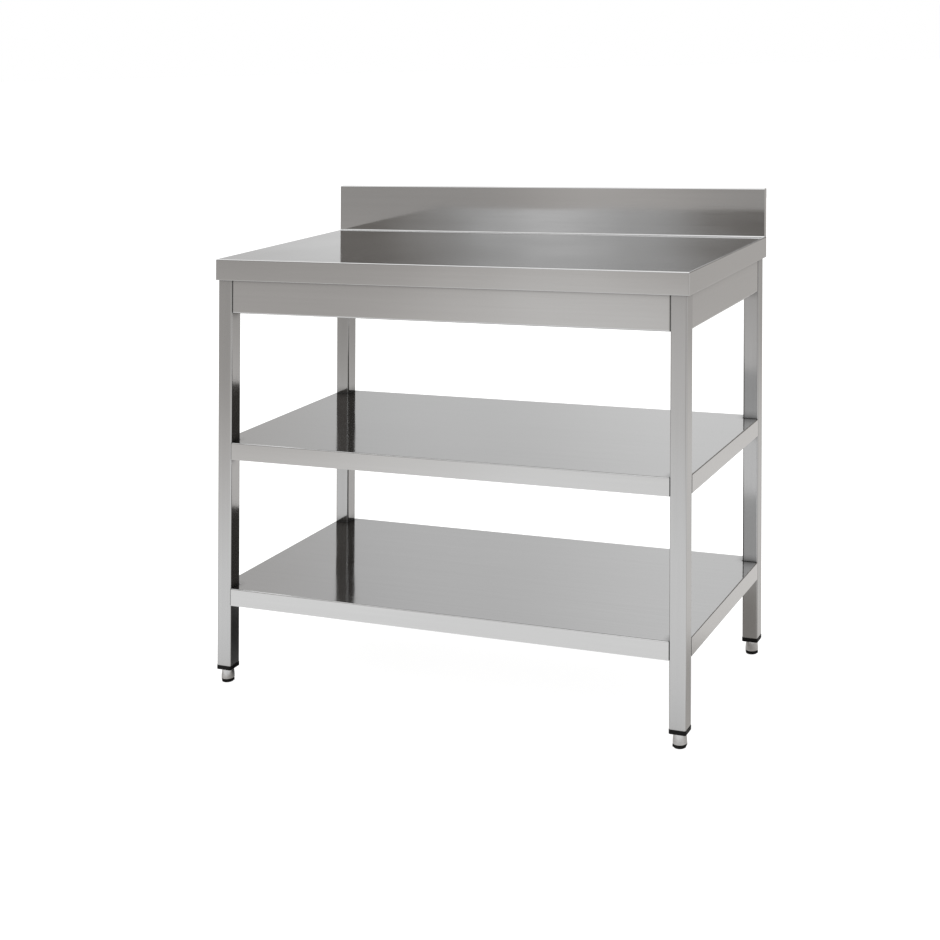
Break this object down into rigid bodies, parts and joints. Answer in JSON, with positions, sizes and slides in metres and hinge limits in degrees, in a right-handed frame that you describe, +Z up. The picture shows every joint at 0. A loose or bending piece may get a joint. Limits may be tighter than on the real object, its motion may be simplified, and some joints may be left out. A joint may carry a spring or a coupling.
{
  "type": "stainless work table",
  "caption": "Stainless steel work table with a rear upstand, folded edges, a middle and a bottom shelf, square-tube legs and screw-adjusted feet.",
  "frame": {"origin": "floor level, under the middle of the worktop", "axes": "+X along the table, +Y towards the upstand, +Z up"},
  "size_m": [1, 0.5, 0.95],
  "materials": {
    "worktop_steel": "fine brushed grain along the table",
    "tube_steel": "ground square tube, grain along the tube",
    "apron_steel": "brushed sheet",
    "shelf_steel": "brushed sheet",
    "foot_metal": "turned and lightly polished",
    "zinc_fasteners": "bright zinc plate",
    "black_nylon": "fine moulded texture",
    "rubber_pad": "matt",
    "board_laminate": "laminated chipboard"
  },
  "bodies": {
    "frame": {"apron_bolts": "zinc_fasteners", "apron_rivet_nuts": "zinc_fasteners", "bottom_shelf": "shelf_steel", "bottom_shelf_bolts": "zinc_fasteners", "bottom_shelf_stiffener": "shelf_steel", "front_apron": "apron_steel", "left_apron": "apron_steel", "leg_front_left": "tube_steel", "leg_front_right": "tube_steel", "leg_plug_front_left": "black_nylon", "leg_plug_front_right": "black_nylon", "leg_plug_rear_left": "black_nylon", "leg_plug_rear_right": "black_nylon", "leg_rear_left": "tube_steel", "leg_rear_right": "tube_steel", "middle_shelf": "shelf_steel", "middle_shelf_bolts": "zinc_fasteners", "middle_shelf_stiffener": "shelf_steel", "plug_inserts": "zinc_fasteners", "rear_apron": "apron_steel", "right_apron": "apron_steel", "shelf_rivet_nuts": "zinc_fasteners", "sound_deadening_board": "board_laminate", "upstand_end_cap_left": "worktop_steel", "upstand_end_cap_right": "worktop_steel", "worktop_rear_angle": "worktop_steel", "worktop_screws": "zinc_fasteners", "worktop_skin": "worktop_steel"},
    "foot_pad_front_left": {"foot_glide_front_left": "rubber_pad"},
    "foot_screw_front_left": {"foot_base_front_left": "black_nylon", "foot_sleeve_front_left": "foot_metal", "foot_stud_front_left": "zinc_fasteners"},
    "foot_pad_front_right": {"foot_glide_front_right": "rubber_pad"},
    "foot_screw_front_right": {"foot_base_front_right": "black_nylon", "foot_sleeve_front_right": "foot_metal", "foot_stud_front_right": "zinc_fasteners"},
    "foot_pad_rear_left": {"foot_glide_rear_left": "rubber_pad"},
    "foot_screw_rear_left": {"foot_base_rear_left": "black_nylon", "foot_sleeve_rear_left": "foot_metal", "foot_stud_rear_left": "zinc_fasteners"},
    "foot_pad_rear_right": {"foot_glide_rear_right": "rubber_pad"},
    "foot_screw_rear_right": {"foot_base_rear_right": "black_nylon", "foot_sleeve_rear_right": "foot_metal", "foot_stud_rear_right": "zinc_fasteners"}
  },
  "joints": [
    {"name": "foot_height_front_left", "type": "slide", "parent": "frame", "child": "foot_pad_front_left", "axis": [0, 0, -1], "range_m": [0, 0.025]},
    {"name": "foot_turn_front_left", "type": "hinge", "parent": "foot_pad_front_left", "child": "foot_screw_front_left", "pos_m": [-0.479, -0.231, 0.0175], "axis": [0, 0, 1], "range_deg": [0, 6000]},
    {"name": "foot_height_front_right", "type": "slide", "parent": "frame", "child": "foot_pad_front_right", "axis": [0, 0, -1], "range_m": [0, 0.025]},
    {"name": "foot_turn_front_right", "type": "hinge", "parent": "foot_pad_front_right", "child": "foot_screw_front_right", "pos_m": [0.479, -0.231, 0.0175], "axis": [0, 0, 1], "range_deg": [0, 6000]},
    {"name": "foot_height_rear_left", "type": "slide", "parent": "frame", "child": "foot_pad_rear_left", "axis": [0, 0, -1], "range_m": [0, 0.025]},
    {"name": "foot_turn_rear_left", "type": "hinge", "parent": "foot_pad_rear_left", "child": "foot_screw_rear_left", "pos_m": [-0.479, 0.227, 0.0175], "axis": [0, 0, 1], "range_deg": [0, 6000]},
    {"name": "foot_height_rear_right", "type": "slide", "parent": "frame", "child": "foot_pad_rear_right", "axis": [0, 0, -1], "range_m": [0, 0.025]},
    {"name": "foot_turn_rear_right", "type": "hinge", "parent": "foot_pad_rear_right", "child": "foot_screw_rear_right", "pos_m": [0.479, 0.227, 0.0175], "axis": [0, 0, 1], "range_deg": [0, 6000]}
  ],
  "couplings": [
    {"joint": "foot_height_front_left", "follows": "foot_turn_front_left", "m_per_rad": 0.00023873},
    {"joint": "foot_height_front_right", "follows": "foot_turn_front_right", "m_per_rad": 0.00023873},
    {"joint": "foot_height_rear_left", "follows": "foot_turn_rear_left", "m_per_rad": 0.00023873},
    {"joint": "foot_height_rear_right", "follows": "foot_turn_rear_right", "m_per_rad": 0.00023873}
  ]
}
